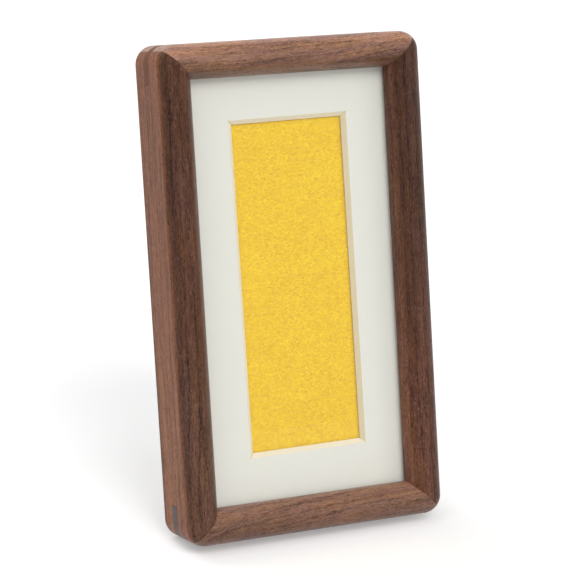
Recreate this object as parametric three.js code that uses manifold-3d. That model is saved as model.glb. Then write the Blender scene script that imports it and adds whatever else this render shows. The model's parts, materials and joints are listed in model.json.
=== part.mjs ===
// A small walnut picture frame with splined mitres, leaning back on its easel strut.
// Millimetres, +Z up, the picture faces -Y and X runs along the width.
// The frame is drawn upright in its own axes and then tipped back as one group:
// x = 0 is the middle, y = 0 the rebate shoulder that the glazing bears on (y grows
// towards the back), and z = 0 the bottom edge. It rests on the rear bottom arris
// and on the foot of the strut.
import * as THREE from 'three';
import { mergeVertices } from 'three/addons/utils/BufferGeometryUtils.js';
import Module from 'manifold-3d';

const wasm = await Module();
wasm.setup();

// Stance
const leanDegrees = 10;        // frame, back from upright
const strutDegrees = 18;       // strut, open from the back panel

// Moulding: widths from the sight edge outwards, heights forward of the shoulder
const sightWidth = 72.6;
const sightHeight = 147;
const faceWidth = 12;
const crestHeight = 8.7;       // highest line of the face
const crestFlat = 0.4;         // width of the flat along that line
const lipHeight = 2.3;         // small upright wall at the sight edge
const outerRound = 6.3;        // round-over from the crest to the outer side
const cornerRadius = 6.6;      // outer corners, seen from the front
const rearEase = 1.2;          // eased rear arris
const rebateWidth = 5;
const rebateDepth = 18.8;      // shoulder to the back of the frame

// Corner splines, let in across each mitre
const splineThickness = 4;
const splineReach = 13;        // along each side from the sharp corner
const splineDepth = 7.6;       // middle of the spline behind the shoulder

// Sheets in the rebate, front to back
const glazingThickness = 1.2;
const matThickness = 1.5;
const feltThickness = 2;
const mountThickness = 3;
const foamThickness = 5;
const panelThickness = 4;
const windowWidth = 41;        // at the back of the 45 degree bevel
const windowHeight = 114;
const windowRise = 0.3;        // window above the middle of the sight
const windowShift = 0.7;       // window to the right of the middle of the sight

// Turn buttons and their screws
const buttonLength = 16;
const buttonWidth = 6;
const buttonInset = 4.1;       // outer side of the frame to the screw
const buttonThickness = 1;
const buttonPitch = 92;        // upper to lower button on a stile
const buttonScrewRadius = 1.2;
const buttonScrewLength = 9;   // under the head
const buttonHeadRadius = 2.3;
const buttonHeadHeight = 1.4;
const buttonDriveDepth = 0.8;

// Butt hinge of the strut
const hingeHeight = 122;       // axis above the bottom edge
const leafWidth = 14;
const leafLength = 14;         // axis to the end of a leaf
const leafThickness = 1;
const knuckleRadius = 2;
const pinRadius = 0.8;
const pinHeadRadius = 1.4;
const pinHeadHeight = 0.5;
const leafScrewRadius = 0.9;
const leafScrewHead = 1.8;
const leafScrewHeadHeight = 0.8;
const leafScrewLength = 4.2;   // overall
const leafScrewPitch = 8;
const leafScrewDrop = 9;       // axis to the screws
const leafDriveDepth = 0.4;
const driveWidth = 0.5;        // cross recess of every screw

// Easel strut
const strutThickness = 5;
const strutTopWidth = 28;
const strutFootWidth = 38;
const hornHeight = 7;          // strut above the hinge axis

// Clearances
const seatGap = 0.3;           // between pieces that bear on or fit in each other
const rebatePlay = 0.5;        // sheet edge to the side of the rebate

// Fineness of the curves
const cornerSteps = 12;
const profileSteps = 10;
const roundSides = 32;

// Sizes that follow
const lean = THREE.MathUtils.degToRad(leanDegrees);
const outerWidth = sightWidth + 2 * faceWidth;
const outerHeight = sightHeight + 2 * faceWidth;
const middle = outerHeight / 2;
const matFront = 2 * seatGap + glazingThickness;
const feltFront = matFront + matThickness + seatGap;
const mountFront = feltFront + feltThickness + seatGap;
const foamFront = mountFront + mountThickness + seatGap;
const panelFront = foamFront + foamThickness + seatGap;
const panelBack = panelFront + panelThickness;
const buttonFront = rebateDepth + seatGap;
const buttonBack = buttonFront + buttonThickness;
const buttonSeat = buttonBack + seatGap;           // under the screw head
const buttonScrewTip = buttonSeat - buttonScrewLength;
const axisOffset = seatGap + knuckleRadius;        // hinge axis behind the panel
const axisY = panelBack + axisOffset;
const leafFront = -knuckleRadius;                  // leaves and strut, from the axis
const leafBack = leafFront + leafThickness;
const leafScrewNeck = leafFront + leafScrewHeadHeight;
const leafScrewTip = leafFront + leafScrewLength;
const leafScrewPlaces = [['left', -leafScrewPitch / 2], ['right', leafScrewPitch / 2]];
const strutFront = leafBack + seatGap;
const strutBack = strutFront + strutThickness;
const restY = rebateDepth - rearEase;              // start of the facet that rests
const floorDrop = restY * Math.sin(lean);          // lifts that facet to the floor
const axisRise = floorDrop - axisY * Math.sin(lean) + hingeHeight * Math.cos(lean);

// Solids

function toSolid(geometry) {
  const bare = geometry.clone();
  bare.deleteAttribute('normal');
  bare.deleteAttribute('uv');
  const merged = mergeVertices(bare, 1e-5);
  const corners = merged.index.array;
  const kept = [];
  for (let i = 0; i < corners.length; i += 3) {
    const [a, b, c] = corners.slice(i, i + 3);
    if (a !== b && b !== c && c !== a) kept.push(a, b, c);
  }
  const vertProperties = new Float32Array(merged.attributes.position.array);
  const triVerts = new Uint32Array(kept);
  return new wasm.Manifold(new wasm.Mesh({ numProp: 3, vertProperties, triVerts }));
}

function toGeometry(solid) {
  const { vertProperties, triVerts } = solid.getMesh();
  const geometry = new THREE.BufferGeometry();
  geometry.setAttribute('position', new THREE.BufferAttribute(vertProperties, 3));
  geometry.setIndex(new THREE.BufferAttribute(triVerts, 1));
  geometry.computeVertexNormals();
  return geometry;
}

// A box between two corners
function block(x0, x1, y0, y1, z0, z1) {
  const box = new THREE.BoxGeometry(x1 - x0, y1 - y0, z1 - z0);
  return toSolid(box.translate((x0 + x1) / 2, (y0 + y1) / 2, (z0 + z1) / 2));
}

// An outline in x and z, run from y0 back to y1
function prism(shape, y0, y1) {
  const options = { depth: y1 - y0, bevelEnabled: false, curveSegments: cornerSteps };
  const geometry = new THREE.ExtrudeGeometry(shape, options);
  return toSolid(geometry.rotateX(Math.PI / 2).translate(0, y1, 0));
}

function polygon(points) {
  return new THREE.Shape(points.map(([x, z]) => new THREE.Vector2(x, z)));
}

// A turned solid about the y axis: pairs of radius and y, front to back
function turned(profile) {
  const points = profile.map(([radius, y]) => new THREE.Vector2(radius, y));
  return toSolid(new THREE.LatheGeometry(points, roundSides));
}

// A round bar along x
function barX(radius, x0, x1) {
  return turned([[0, -x1], [radius, -x1], [radius, -x0], [0, -x0]]).rotate([0, 0, 90]);
}

// Rings of equal count, skinned from front to back
function skin(rings) {
  const count = rings[0].points.length;
  const last = (rings.length - 1) * count;
  const positions = rings.flatMap(({ y, points }) => points.flatMap(([x, z]) => [x, y, z]));
  const index = [];
  for (let i = 1; i < count - 1; i += 1) {
    index.push(0, i, i + 1);
    index.push(last, last + i + 1, last + i);
  }
  for (let start = 0; start < last; start += count) {
    for (let i = 0; i < count; i += 1) {
      const a = start + i;
      const b = start + ((i + 1) % count);
      index.push(a, a + count, b + count);
      index.push(a, b + count, b);
    }
  }
  const geometry = new THREE.BufferGeometry();
  geometry.setAttribute('position', new THREE.Float32BufferAttribute(positions, 3));
  geometry.setIndex(index);
  return toSolid(geometry);
}

// Corners of a rectangle, by default about the middle of the frame
function rectangle(width, height, x = 0, z = middle) {
  return [
    [x - width / 2, z - height / 2], [x + width / 2, z - height / 2],
    [x + width / 2, z + height / 2], [x - width / 2, z + height / 2],
  ];
}

// The frame's outline, drawn in by an inset
function frameOutline(inset) {
  const radius = Math.max(cornerRadius - inset, seatGap);
  const drawnIn = 2 * (inset + radius);
  return rectangle(outerWidth - drawnIn, outerHeight - drawnIn).flatMap(([x, z], corner) => {
    const arc = [];
    for (let k = 0; k <= cornerSteps; k += 1) {
      const angle = Math.PI + (corner + k / cornerSteps) * Math.PI / 2;
      arc.push([x + radius * Math.cos(angle), z + radius * Math.sin(angle)]);
    }
    return arc;
  });
}

// Moulding

// The block whose outer surface the four sides and the splines share
function frameBlank() {
  const quarter = Math.PI / 2;
  const rings = [];
  for (let k = 0; k <= profileSteps; k += 1) {
    const angle = k / profileSteps * quarter;
    rings.push({
      y: outerRound * (1 - Math.cos(angle)) - crestHeight,
      points: frameOutline(outerRound * (1 - Math.sin(angle))),
    });
  }
  // The first facet of the rear arris lies level when the frame leans back
  for (const angle of [0, 2 * lean, lean + quarter / 2, quarter]) {
    rings.push({
      y: restY + rearEase * Math.sin(angle),
      points: frameOutline(rearEase * (1 - Math.cos(angle))),
    });
  }
  return skin(rings);
}

// What the sight opening and the slope down to it take away
function sightCutter() {
  const crestRun = faceWidth - outerRound - crestFlat;
  const grown = (run) => rectangle(sightWidth + 2 * run, sightHeight + 2 * run);
  const rings = [{ y: -crestHeight - outerRound, points: grown(crestRun) }];
  for (let k = profileSteps; k >= 0; k -= 1) {
    const share = k / profileSteps;
    const rise = (crestHeight - lipHeight) * (1 - (1 - share) ** 2);
    rings.push({ y: -lipHeight - rise, points: grown(share * crestRun) });
  }
  rings.push({ y: rebateDepth / 2, points: grown(0) });
  return skin(rings);
}

const blank = frameBlank();
const ring = blank.subtract(sightCutter()).subtract(prism(
  polygon(rectangle(sightWidth + 2 * rebateWidth, sightHeight + 2 * rebateWidth)),
  0,
  rebateDepth * 2,
));

// Across one corner; grown widens it all round for the slot
function splineTool([signX, signZ], grown) {
  const reach = splineReach + grown * Math.SQRT2;
  const over = cornerRadius;
  const x = signX * outerWidth / 2;
  const z = middle + signZ * outerHeight / 2;
  const plan = polygon([
    [x + signX * over, z + signZ * over],
    [x - signX * (reach + over), z + signZ * over],
    [x + signX * over, z - signZ * (reach + over)],
  ]);
  const half = splineThickness / 2 + grown;
  return prism(plan, splineDepth - half, splineDepth + half);
}

// The plan of one side between its two mitres, with half the glue line off each
function sidePlan(isRail, sign) {
  const cut = seatGap / Math.SQRT2;
  const [across, along] = isRail ? [outerHeight, outerWidth] : [outerWidth, outerHeight];
  const outer = faceWidth + along / 2;
  const inner = along / 2 - faceWidth - rebateWidth;
  const far = faceWidth + across / 2;
  const near = across / 2 - faceWidth - rebateWidth;
  const points = [[cut - outer, -far], [cut - inner, -near], [inner - cut, -near], [outer - cut, -far]];
  return polygon(points.map(([a, b]) => (isRail ? [a, middle - sign * b] : [-sign * b, middle + a])));
}

const corners = {
  top_left: [-1, 1],
  top_right: [1, 1],
  bottom_left: [-1, -1],
  bottom_right: [1, -1],
};
const sides = {
  rail_top: [true, 1],
  rail_bottom: [true, -1],
  stile_left: [false, -1],
  stile_right: [false, 1],
};

// Turn buttons: the screw's place on the back of the frame, and the turn of the tab
const stileX = outerWidth / 2 - buttonInset;
const buttons = {
  left_upper: [-stileX, middle + buttonPitch / 2, 0],
  left_lower: [-stileX, middle - buttonPitch / 2, 0],
  right_upper: [stileX, middle + buttonPitch / 2, Math.PI],
  right_lower: [stileX, middle - buttonPitch / 2, Math.PI],
  top: [0, outerHeight - buttonInset, Math.PI / 2],
};

function buttonHole(from) {
  const radius = buttonScrewRadius + seatGap;
  const to = buttonSeat + seatGap;
  return turned([[0, from], [radius, from], [radius, to], [0, to]]);
}

function frameSide([isRail, sign]) {
  let solid = ring.intersect(prism(sidePlan(isRail, sign), -2 * crestHeight, 2 * rebateDepth));
  for (const corner of Object.values(corners)) {
    solid = solid.subtract(splineTool(corner, seatGap));
  }
  for (const [x, z] of Object.values(buttons)) {
    solid = solid.subtract(buttonHole(buttonScrewTip - seatGap).translate([x, 0, z]));
  }
  return solid;
}

// Sheets in the rebate

function sheet(front, thickness) {
  const side = 2 * (rebateWidth - rebatePlay);
  const plan = polygon(rectangle(sightWidth + side, sightHeight + side));
  return prism(plan, front, front + thickness);
}

function matBoard() {
  const back = matFront + matThickness;
  const window = [matFront - seatGap, back + seatGap].map((y) => {
    const bevel = 2 * (back - y);
    const points = rectangle(windowWidth + bevel, windowHeight + bevel, windowShift, middle + windowRise);
    return { y, points };
  });
  return sheet(matFront, matThickness).subtract(skin(window));
}

function backPanel() {
  let solid = sheet(panelFront, panelThickness);
  for (const [, x] of leafScrewPlaces) {
    solid = solid.subtract(turnedOver(leafScrewHole()).translate([x, axisY, hingeHeight + leafScrewDrop]));
  }
  return solid;
}

// Screws

// A cross recess in a screw head whose face is at the given y
function crossRecess(face, half, depth) {
  const slot = block(-half, half, face - depth, face + depth, -driveWidth / 2, driveWidth / 2);
  return slot.add(slot.rotate([0, 90, 0]));
}

function buttonScrew() {
  const top = buttonSeat + buttonHeadHeight;
  const point = buttonScrewTip + 2 * buttonScrewRadius;
  const crown = buttonHeadRadius * 0.7;
  const body = turned([
    [0, buttonScrewTip], [buttonScrewRadius, point], [buttonScrewRadius, buttonSeat],
    [buttonHeadRadius, buttonSeat], [buttonHeadRadius, buttonSeat + buttonHeadHeight / 2],
    [crown, top], [0, top],
  ]);
  return body.subtract(crossRecess(top, crown * 0.8, buttonDriveDepth));
}

// Countersunk, with its head in the front of a leaf and its point towards +y
function leafScrew() {
  const body = turned([
    [0, leafFront], [leafScrewHead, leafFront], [leafScrewRadius, leafScrewNeck],
    [leafScrewRadius, leafScrewTip - 1.5 * leafScrewRadius], [0, leafScrewTip],
  ]);
  return body.subtract(crossRecess(leafFront, leafScrewHead * 0.6, leafDriveDepth));
}

function leafScrewHole() {
  const radius = leafScrewRadius + seatGap;
  const mouth = leafFront - seatGap;
  const end = leafScrewTip + seatGap;
  return turned([
    [0, mouth], [leafScrewHead + 3 * seatGap, mouth], [radius, leafScrewNeck], [radius, end], [0, end],
  ]);
}

// A leaf screw or its hole, entering the leaf from the other face
function turnedOver(solid) {
  return solid.mirror([0, 1, 0]).translate([0, leafFront + leafBack, 0]);
}

// Turn button, drawn about its screw with the tab towards +x
function turnButton() {
  const end = buttonWidth / 2;
  const quarter = Math.PI / 2;
  const shape = new THREE.Shape();
  shape.absarc(0, 0, end, quarter, -quarter, false);
  shape.absarc(buttonLength - buttonWidth, 0, end, -quarter, quarter, false);
  return prism(shape, buttonFront, buttonBack).subtract(buttonHole(buttonFront - seatGap));
}

// Hinge and strut, drawn about the hinge axis, with the strut closed

const knuckleSplit = leafWidth / 6;
const panelKnuckles = [
  [-leafWidth / 2, -knuckleSplit - seatGap / 2],
  [knuckleSplit + seatGap / 2, leafWidth / 2],
];
const strutKnuckles = [[seatGap / 2 - knuckleSplit, knuckleSplit - seatGap / 2]];

// A leaf hanging down from the axis, with knuckles over the given runs in x
function hingeLeaf(knuckles) {
  const plateTop = -knuckleRadius - seatGap;
  let solid = block(-leafWidth / 2, leafWidth / 2, leafFront, leafBack, -leafLength, plateTop);
  for (const [x0, x1] of knuckles) {
    solid = solid.add(block(x0, x1, leafFront, leafBack, plateTop - leafThickness, 0));
    solid = solid.add(barX(knuckleRadius, x0, x1));
  }
  return solid.subtract(barX(pinRadius + seatGap, -leafWidth, leafWidth));
}

function strutLeaf() {
  let solid = hingeLeaf(strutKnuckles);
  for (const [, x] of leafScrewPlaces) {
    solid = solid.subtract(leafScrewHole().translate([x, 0, -leafScrewDrop]));
  }
  return solid;
}

function panelLeaf() {
  let solid = hingeLeaf(panelKnuckles).mirror([0, 0, 1]);
  for (const [, x] of leafScrewPlaces) {
    solid = solid.subtract(turnedOver(leafScrewHole()).translate([x, 0, leafScrewDrop]));
  }
  return solid;
}

function hingePin() {
  const neck = leafWidth / 2 + seatGap;
  const end = neck + pinHeadHeight;
  const crown = pinHeadRadius * 0.7;
  return turned([
    [0, -end], [crown, -end], [pinHeadRadius, -neck], [pinRadius, -neck],
    [pinRadius, neck], [pinHeadRadius, neck], [crown, end], [0, end],
  ]).rotate([0, 0, 90]);
}

function easelStrut() {
  const tiltDegrees = strutDegrees - leanDegrees;
  const legLength = axisRise / Math.cos(THREE.MathUtils.degToRad(tiltDegrees));
  const foot = legLength + strutThickness;
  const far = 2 * foot;
  const plan = polygon([
    [-strutFootWidth / 2, -foot], [strutFootWidth / 2, -foot],
    [strutTopWidth / 2, hornHeight], [-strutTopWidth / 2, hornHeight],
  ]);
  const notch = leafWidth / 2 + pinHeadHeight + 2 * seatGap;
  const hingeNotch = block(-notch, notch, -far, far, -knuckleRadius - 2 * seatGap, far);
  // In the open strut's axes: the panel that the horns stop against, and the floor
  const panelStop = block(-far, far, -far, leafFront, -far, far).rotate([-strutDegrees, 0, 0]);
  const floor = block(-far, far, -far, far, -far, -axisRise).rotate([-tiltDegrees, 0, 0]);
  let solid = prism(plan, strutFront, strutBack);
  solid = solid.subtract(hingeNotch).subtract(panelStop).subtract(floor);
  for (const [, x] of leafScrewPlaces) {
    solid = solid.subtract(leafScrewHole().translate([x, 0, -leafScrewDrop]));
  }
  return solid;
}

// Finishes

const finishes = {
  stile: { color: '#6b4636', roughness: 0.5, metalness: 0 },
  rail: { color: '#86604a', roughness: 0.5, metalness: 0 },
  spline: { color: '#4d4644', roughness: 0.5, metalness: 0 },
  strut: { color: '#6e4c3a', roughness: 0.55, metalness: 0 },
  glazing: { color: '#e8eef0', roughness: 0.08, metalness: 0, transparent: true, opacity: 0.18 },
  mat: { color: '#e6e6de', roughness: 0.9, metalness: 0 },
  felt: { color: '#efc94e', roughness: 0.95, metalness: 0 },
  mount: { color: '#b9ab8f', roughness: 0.9, metalness: 0 },
  foam: { color: '#f0efe9', roughness: 0.85, metalness: 0 },
  panel: { color: '#6a4a35', roughness: 0.85, metalness: 0 },
  brass: { color: '#b8934a', roughness: 0.35, metalness: 1 },
};

function piece(name, solid, finish) {
  const mesh = new THREE.Mesh(toGeometry(solid), new THREE.MeshStandardMaterial(finishes[finish]));
  mesh.name = name;
  return mesh;
}

// Assembly

const frame = new THREE.Group();
frame.rotation.x = -lean;
frame.position.z = floorDrop;

for (const [name, side] of Object.entries(sides)) {
  frame.add(piece(name, frameSide(side), side[0] ? 'rail' : 'stile'));
}
for (const [name, corner] of Object.entries(corners)) {
  frame.add(piece(`spline_${name}`, blank.intersect(splineTool(corner, 0)), 'spline'));
}

frame.add(piece('glazing_sheet', sheet(seatGap, glazingThickness), 'glazing'));
frame.add(piece('mat_board', matBoard(), 'mat'));
frame.add(piece('felt_insert', sheet(feltFront, feltThickness), 'felt'));
frame.add(piece('mount_board', sheet(mountFront, mountThickness), 'mount'));
frame.add(piece('foam_board', sheet(foamFront, foamThickness), 'foam'));
frame.add(piece('back_panel', backPanel(), 'panel'));

for (const [name, [x, z, turn]] of Object.entries(buttons)) {
  const station = new THREE.Group();
  station.position.set(x, 0, z);
  station.rotation.y = turn;
  station.add(piece(`turn_button_${name}`, turnButton(), 'brass'));
  station.add(piece(`button_screw_${name}`, buttonScrew(), 'brass'));
  frame.add(station);
}

const hinge = new THREE.Group();
hinge.position.set(0, axisY, hingeHeight);
frame.add(hinge);
hinge.add(piece('hinge_leaf_panel', panelLeaf(), 'brass'));
hinge.add(piece('hinge_pin', hingePin(), 'brass'));

const strut = new THREE.Group();
strut.rotation.x = THREE.MathUtils.degToRad(strutDegrees);
hinge.add(strut);
strut.add(piece('hinge_leaf_strut', strutLeaf(), 'brass'));
strut.add(piece('easel_strut', easelStrut(), 'strut'));

for (const [name, x] of leafScrewPlaces) {
  const panelScrew = piece(`leaf_screw_panel_${name}`, turnedOver(leafScrew()), 'brass');
  panelScrew.position.set(x, 0, leafScrewDrop);
  hinge.add(panelScrew);
  const strutScrew = piece(`leaf_screw_strut_${name}`, leafScrew(), 'brass');
  strutScrew.position.set(x, 0, -leafScrewDrop);
  strut.add(strutScrew);
}

// The origin is the middle of the object's footprint box, on the floor
const assembly = new THREE.Group();
assembly.add(frame);
assembly.updateMatrixWorld(true);
assembly.position.y = -new THREE.Box3().setFromObject(frame, true).getCenter(new THREE.Vector3()).y;

export default assembly;
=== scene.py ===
"""A small walnut picture frame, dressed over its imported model.

Each piece is made on a bench: upright, in millimetres, in the frame's own axes. There x = 0 is
the middle, y = 0 the rebate shoulder that the glazing bears on, with the back at +y, and z = 0
the bottom edge. Hinge pieces are made about the hinge axis instead, with the strut closed. A
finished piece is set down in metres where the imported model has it, leaning back.
"""

import json
import math
from types import SimpleNamespace

import bmesh
import bpy
from mathutils import Matrix, Vector


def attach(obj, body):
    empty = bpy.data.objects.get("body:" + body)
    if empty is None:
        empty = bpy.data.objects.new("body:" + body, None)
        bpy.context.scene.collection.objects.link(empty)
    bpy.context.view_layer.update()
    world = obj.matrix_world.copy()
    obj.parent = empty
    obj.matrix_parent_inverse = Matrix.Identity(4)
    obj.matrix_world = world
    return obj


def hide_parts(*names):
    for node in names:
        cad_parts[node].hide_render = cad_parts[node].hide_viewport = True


bl_info = {
    "name": "Walnut picture frame",
    "version": (1, 0, 0),
    "blender": (4, 5, 0),
    "location": "3D View > Sidebar > Picture frame",
    "description": "Makes a small walnut frame with a mat, a felt insert and an easel strut",
    "category": "Add Mesh",
}

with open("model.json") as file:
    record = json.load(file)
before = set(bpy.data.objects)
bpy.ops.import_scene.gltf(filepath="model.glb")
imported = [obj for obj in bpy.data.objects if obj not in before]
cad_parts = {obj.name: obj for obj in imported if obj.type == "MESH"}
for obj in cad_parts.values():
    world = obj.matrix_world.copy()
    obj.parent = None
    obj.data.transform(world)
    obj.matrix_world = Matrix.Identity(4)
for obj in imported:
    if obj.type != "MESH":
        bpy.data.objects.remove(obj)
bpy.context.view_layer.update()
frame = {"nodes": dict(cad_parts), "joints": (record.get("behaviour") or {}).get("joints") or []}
joints = {joint["name"]: joint for joint in frame["joints"]}

MM = 0.001
CLOSE = 0.002  # on the bench, two places nearer than this are the same
FLUSH = 0.004  # two parts of a unit normal nearer than this are the same
STRAIGHT = 3.13  # a corner wider than this, in radians, is no corner
X, Y, Z = range(3)

# The frame leans back, so the turn buttons' screws point down into it
LEAN = -math.asin(joints["button_top_turn"]["axis"][Z])
HINGE_PLACE = Vector(joints["strut_hinge"]["pos_m"])


# Properties


def length(name, description, millimetres):
    return bpy.props.FloatProperty(
        name=name,
        description=description,
        default=millimetres * MM,
        min=0,
        precision=4,
        subtype="DISTANCE",
        unit="LENGTH",
    )


def linear(paint):
    """A colour written as #rrggbb, as Blender's shaders take it."""
    levels = [int(paint[i : i + 2], 16) / 255 for i in (1, 3, 5)]
    return [v / 12.92 if v <= 0.04045 else ((v + 0.055) / 1.055) ** 2.4 for v in levels]


def colour(name, description, paint):
    return bpy.props.FloatVectorProperty(
        name=name,
        description=description,
        default=linear(paint),
        min=0,
        max=1,
        size=3,
        subtype="COLOR",
    )


class MouldingSizes(bpy.types.PropertyGroup):
    """Sizes of the wooden moulding and its corner splines."""

    sight_width: length("Sight width", "Width of the opening", 72.6)
    sight_height: length("Sight height", "Height of the opening", 147)
    face_width: length("Face width", "Sight edge to the outer side", 12)
    crest_height: length("Crest height", "Shoulder to the highest line of the face", 8.7)
    crest_flat: length("Crest flat", "Width of the flat along that line", 0.4)
    lip_height: length("Lip height", "Small upright wall at the sight edge", 2.3)
    outer_round: length("Outer round", "Round-over from the crest to the outer side", 6.3)
    corner_radius: length("Corner radius", "Outer corners, seen from the front", 6.6)
    rear_ease: length("Rear ease", "Eased rear arris", 1.2)
    rebate_width: length("Rebate width", "Sight edge to the side of the rebate", 5)
    rebate_depth: length("Rebate depth", "Shoulder to the back of the frame", 18.8)
    mitre_ease: length("Mitre ease", "Softened arris along each mitre", 0.09)
    spline_thickness: length("Spline thickness", "Slip let in across a corner", 4)
    spline_reach: length("Spline reach", "Sharp corner to the end of a spline", 13)
    spline_depth: length("Spline depth", "Shoulder to the middle of a spline", 7.6)
    glue_line: length("Glue line", "Dark line around a spline", 0.13)


class SheetSizes(bpy.types.PropertyGroup):
    """Sizes of the sheets in the rebate."""

    play: length("Play", "Edge of a sheet to the side of the rebate", 0.5)
    gap: length("Gap", "Between one sheet and the next", 0.3)
    glazing: length("Glazing", "Thickness of the glazing", 1.2)
    mat: length("Mat", "Thickness of the window mat", 1.5)
    felt: length("Felt", "Thickness of the felt", 2)
    mount: length("Mount board", "Thickness of the mount board", 3)
    foam: length("Foam board", "Thickness of the foam board", 5)
    panel: length("Back panel", "Thickness of the back panel", 4)
    window_width: length("Window width", "Mat window at the back of its bevel", 41)
    window_height: length("Window height", "Mat window at the back of its bevel", 114)
    window_rise: length("Window rise", "Window above the middle of the opening", 0.3)
    window_shift: length("Window shift", "Window to the right of the middle", 0.7)
    window_turn: bpy.props.FloatProperty(
        name="Window turn",
        description="Slight turn of the hand-cut window about its lower edge",
        default=math.radians(0.37),
        subtype="ANGLE",
        unit="ROTATION",
    )
    knife_mark: length("Knife mark", "Depth of the cuts in the corners of the bevel", 0.3)
    blade: length("Blade", "Thickness of the knife that left them", 0.16)
    panel_arris: length("Panel arris", "Softened edges of the back panel", 0.3)
    felt_pitch: length("Felt pitch", "Spacing of the points on the felt's surface", 0.36)
    felt_nap: length("Felt nap", "Height of the felt's unevenness", 0.22)


class FittingSizes(bpy.types.PropertyGroup):
    """Sizes of the turn buttons, their screws and the strut's hinge."""

    button_length: length("Button length", "Overall length of a turn button", 16)
    button_width: length("Button width", "Width of a turn button", 6)
    button_inset: length("Button inset", "Outer side of the frame to the screw", 4.1)
    button_thickness: length("Button thickness", "Thickness of a turn button", 1)
    button_arris: length("Button arris", "Softened edges of a turn button", 0.18)
    button_pitch: length("Button pitch", "Upper to lower button on a stile", 92)
    button_head: length("Button screw head", "Radius of the head", 2.3)
    button_head_height: length("Button screw head height", "Height of the head", 1.4)
    button_crown: length("Button screw crown", "Round-over of the head", 1.05)
    button_screw: length("Button screw", "Radius of the shank", 1.2)
    button_screw_length: length("Button screw length", "Length under the head", 9)
    hinge_height: length("Hinge height", "Bottom edge to the hinge axis", 122)
    leaf_width: length("Leaf width", "Width of the hinge", 14)
    leaf_length: length("Leaf length", "Hinge axis to the end of a leaf", 14)
    leaf_thickness: length("Leaf thickness", "Thickness of a leaf", 1)
    leaf_corner: length("Leaf corner", "Rounded corners of a leaf", 1.2)
    leaf_arris: length("Leaf arris", "Softened edges of a leaf", 0.12)
    knuckle: length("Knuckle", "Outer radius of the knuckles", 2)
    knuckle_ease: length("Knuckle ease", "Softened ends of the knuckles", 0.1)
    pin: length("Pin", "Radius of the hinge pin", 0.8)
    pin_head: length("Pin head", "Radius of its heads", 1.4)
    pin_head_height: length("Pin head height", "Height of its heads", 0.5)
    pin_head_round: length("Pin head round", "Round-over of its heads", 0.4)
    leaf_screw: length("Leaf screw", "Radius of the shank", 0.9)
    leaf_screw_head: length("Leaf screw head", "Radius of the head", 1.8)
    leaf_screw_length: length("Leaf screw length", "Overall length", 4.2)
    countersink: length("Countersink", "Depth of the head in the leaf", 0.8)
    leaf_screw_pitch: length("Leaf screw pitch", "One screw to the other", 8)
    leaf_screw_drop: length("Leaf screw drop", "Hinge axis to the screws", 9)
    drive: length("Drive", "Width of the cross recess", 0.5)


class StrutSizes(bpy.types.PropertyGroup):
    """Sizes of the easel strut."""

    thickness: length("Thickness", "Thickness of the strut", 5)
    top_width: length("Top width", "Width at the hinge end", 28)
    foot_width: length("Foot width", "Width at the foot", 38)
    horn_height: length("Horn height", "Strut above the hinge axis", 7)
    arris: length("Arris", "Softened edges", 0.4)
    opening: bpy.props.FloatProperty(
        name="Opening",
        description="Angle between the strut and the back panel when it stands",
        default=math.radians(18),
        subtype="ANGLE",
        unit="ROTATION",
    )


class Finishes(bpy.types.PropertyGroup):
    """Colours of the woods, cards, felt and metal."""

    # The rails are lighter than the stiles partly for their wood and partly as painted sheen: grain
    # across the light from above sends more of it back.
    rail_light: colour("Rail, light wood", "Palest grain of top and bottom", "#9e7661")
    rail_dark: colour("Rail, dark wood", "Darkest grain of top and bottom", "#4b3024")
    stile_light: colour("Stile, light wood", "Palest grain of the sides", "#6f4f41")
    stile_dark: colour("Stile, dark wood", "Darkest grain of the sides", "#2e1d17")
    pore: colour("Pores", "Open pores of the walnut", "#1c100b")
    spline: colour("Lower splines", "Slips across the lower corners", "#4e4a4d")
    spline_brown: colour("Upper splines", "Slips across the upper corners", "#825136")
    card: colour("Card", "Face of the window mat", "#e7e6dc")
    core: colour("Core", "Cut edge of the window mat", "#f4ead0")
    # Painted shade: the right bevel faces away from the light from the right, so its core is darker
    # and yellower.
    core_warm: colour("Core, right", "The same on the right, where it looks yellower", "#e6d9b8")
    felt: colour("Felt", "Felt insert", "#ffda1d")
    felt_shade: colour("Felt, shade", "Hollows between the fibres", "#e1a60a")
    board: colour("Board", "Grey-brown mount board", "#b9ab8f")
    foam: colour("Foam board", "White filler board", "#efeee8")
    panel: colour("Back panel", "Brown hardboard", "#6f4c34")
    brass: colour("Brass", "Buttons, hinge and screws", "#c39a4a")
    floor: colour("Floor", "Floor under the frame", "#f4f4f4")


def power(name, description, watts):
    return bpy.props.FloatProperty(
        name=name, description=f"{description}, in W/m2", default=watts, min=0
    )


class StageSettings(bpy.types.PropertyGroup):
    """Soft lamps of the stage."""

    front: power("Front", "Light from the front, above", 1.2)
    right: power("Right", "Light from the front, low on the right", 0.35)
    left: power("Left", "Light from the front, high on the left", 0.52)
    back: power("Back", "Light from behind, high on the left", 0.75)
    ambient: bpy.props.FloatProperty(
        name="Ambient", description="Even light from all round", default=0.35, min=0, max=1
    )
    floor_white: bpy.props.FloatProperty(
        name="Floor white", description="Brightens the floor to the eye alone", default=0.3, min=0
    )
    floor_size: length("Floor size", "Width of the floor, whose edge shows in the glazing", 5000)


class FrameSettings(bpy.types.PropertyGroup):
    """All that a user can change."""

    moulding: bpy.props.PointerProperty(type=MouldingSizes)
    sheets: bpy.props.PointerProperty(type=SheetSizes)
    fittings: bpy.props.PointerProperty(type=FittingSizes)
    strut: bpy.props.PointerProperty(type=StrutSizes)
    finishes: bpy.props.PointerProperty(type=Finishes)
    stage: bpy.props.PointerProperty(type=StageSettings)


def sizes_of(group):
    """A group's lengths in millimetres and its other values as they are."""
    kinds = group.bl_rna.properties
    return SimpleNamespace(
        **{
            name: getattr(group, name) / (MM if kinds[name].unit == "LENGTH" else 1)
            for name in group.__annotations__
        }
    )


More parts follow.
